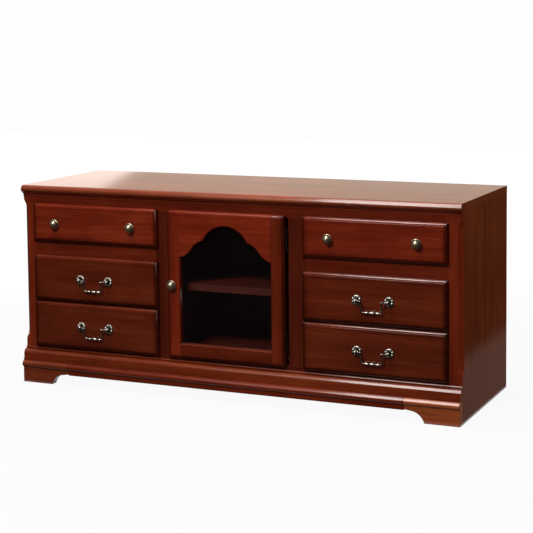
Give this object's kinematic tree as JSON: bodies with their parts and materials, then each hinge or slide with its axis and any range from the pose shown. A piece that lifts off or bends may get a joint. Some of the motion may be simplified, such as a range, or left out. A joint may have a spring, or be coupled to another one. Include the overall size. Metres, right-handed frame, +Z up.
{
  "type": "tv stand",
  "caption": "Wide traditional wooden television stand with banks of lipped drawers, a glazed arched centre door, bail pulls and a moulded bracket base.",
  "frame": {"origin": "on the floor under the middle of the whole stand, knobs included", "axes": "+X along the width to the right of someone facing the stand, +Y from front to back, +Z up"},
  "size_m": [1.524, 0.5372, 0.665],
  "materials": {
    "cherry_wood": "gloss lacquer",
    "inside_wood": "satin lacquer",
    "box_wood": "plain sanded",
    "back_board": "matt",
    "aged_brass": "aged, satin",
    "dark_bronze": "dark satin",
    "steel": "plain",
    "catch_plastic": "matt",
    "clear_glass": "clear"
  },
  "bodies": {
    "case": {"back_panel": "back_board", "base_apron": "cherry_wood", "base_cap_moulding": "cherry_wood", "bottom_panel": "inside_wood", "bottom_rail": "cherry_wood", "bracket_foot_left": "cherry_wood", "bracket_foot_right": "cherry_wood", "corner_post_left": "cherry_wood", "corner_post_right": "cherry_wood", "cornice_moulding": "cherry_wood", "door_catch": "catch_plastic", "drawer_rails": "cherry_wood", "drawer_runners": "box_wood", "hinge_frame_leaves": "dark_bronze", "hinge_pins": "dark_bronze", "partition_left": "inside_wood", "partition_right": "inside_wood", "shelf": "inside_wood", "shelf_pins": "steel", "side_panel_left": "cherry_wood", "side_panel_right": "cherry_wood", "stile_left": "cherry_wood", "stile_right": "cherry_wood", "top_cleats": "box_wood", "top_panel": "cherry_wood", "top_rail": "cherry_wood"},
    "door": {"catch_strike": "steel", "door_arched_rail": "cherry_wood", "door_bottom_rail": "cherry_wood", "door_glass": "clear_glass", "door_hinge_stile": "cherry_wood", "door_knob": "aged_brass", "door_latch_stile": "cherry_wood", "glass_stops": "inside_wood", "hinge_door_leaves": "dark_bronze"},
    "drawer_left_top": {"drawer_front_left_top": "cherry_wood", "drawer_box_left_top": "box_wood", "drawer_knobs_left_top": "aged_brass"},
    "drawer_left_middle": {"drawer_front_left_middle": "cherry_wood", "drawer_box_left_middle": "box_wood", "pull_posts_left_middle": "aged_brass"},
    "bail_left_middle": {"bail_left_middle": "aged_brass"},
    "drawer_left_lower": {"drawer_front_left_lower": "cherry_wood", "drawer_box_left_lower": "box_wood", "pull_posts_left_lower": "aged_brass"},
    "bail_left_lower": {"bail_left_lower": "aged_brass"},
    "drawer_right_top": {"drawer_front_right_top": "cherry_wood", "drawer_box_right_top": "box_wood", "drawer_knobs_right_top": "aged_brass"},
    "drawer_right_middle": {"drawer_front_right_middle": "cherry_wood", "drawer_box_right_middle": "box_wood", "pull_posts_right_middle": "aged_brass"},
    "bail_right_middle": {"bail_right_middle": "aged_brass"},
    "drawer_right_lower": {"drawer_front_right_lower": "cherry_wood", "drawer_box_right_lower": "box_wood", "pull_posts_right_lower": "aged_brass"},
    "bail_right_lower": {"bail_right_lower": "aged_brass"}
  },
  "joints": [
    {"name": "door_hinge", "type": "hinge", "parent": "case", "child": "door", "pos_m": [0.1992, -0.23015, 0.365], "axis": [0, 0, 1], "range_deg": [0, 90]},
    {"name": "drawer_left_top_slide", "type": "slide", "parent": "case", "child": "drawer_left_top", "axis": [0, -1, 0], "range_m": [0, 0.3]},
    {"name": "drawer_left_middle_slide", "type": "slide", "parent": "case", "child": "drawer_left_middle", "axis": [0, -1, 0], "range_m": [0, 0.3]},
    {"name": "bail_left_middle_swing", "type": "hinge", "parent": "drawer_left_middle", "child": "bail_left_middle", "pos_m": [-0.4855, -0.25465, 0.358], "axis": [-1, 0, 0], "range_deg": [-7, 195]},
    {"name": "drawer_left_lower_slide", "type": "slide", "parent": "case", "child": "drawer_left_lower", "axis": [0, -1, 0], "range_m": [0, 0.3]},
    {"name": "bail_left_lower_swing", "type": "hinge", "parent": "drawer_left_lower", "child": "bail_left_lower", "pos_m": [-0.4855, -0.25465, 0.201], "axis": [-1, 0, 0], "range_deg": [-7, 195]},
    {"name": "drawer_right_top_slide", "type": "slide", "parent": "case", "child": "drawer_right_top", "axis": [0, -1, 0], "range_m": [0, 0.3]},
    {"name": "drawer_right_middle_slide", "type": "slide", "parent": "case", "child": "drawer_right_middle", "axis": [0, -1, 0], "range_m": [0, 0.3]},
    {"name": "bail_right_middle_swing", "type": "hinge", "parent": "drawer_right_middle", "child": "bail_right_middle", "pos_m": [0.4855, -0.25465, 0.358], "axis": [-1, 0, 0], "range_deg": [-7, 195]},
    {"name": "drawer_right_lower_slide", "type": "slide", "parent": "case", "child": "drawer_right_lower", "axis": [0, -1, 0], "range_m": [0, 0.3]},
    {"name": "bail_right_lower_swing", "type": "hinge", "parent": "drawer_right_lower", "child": "bail_right_lower", "pos_m": [0.4855, -0.25465, 0.201], "axis": [-1, 0, 0], "range_deg": [-7, 195]}
  ]
}
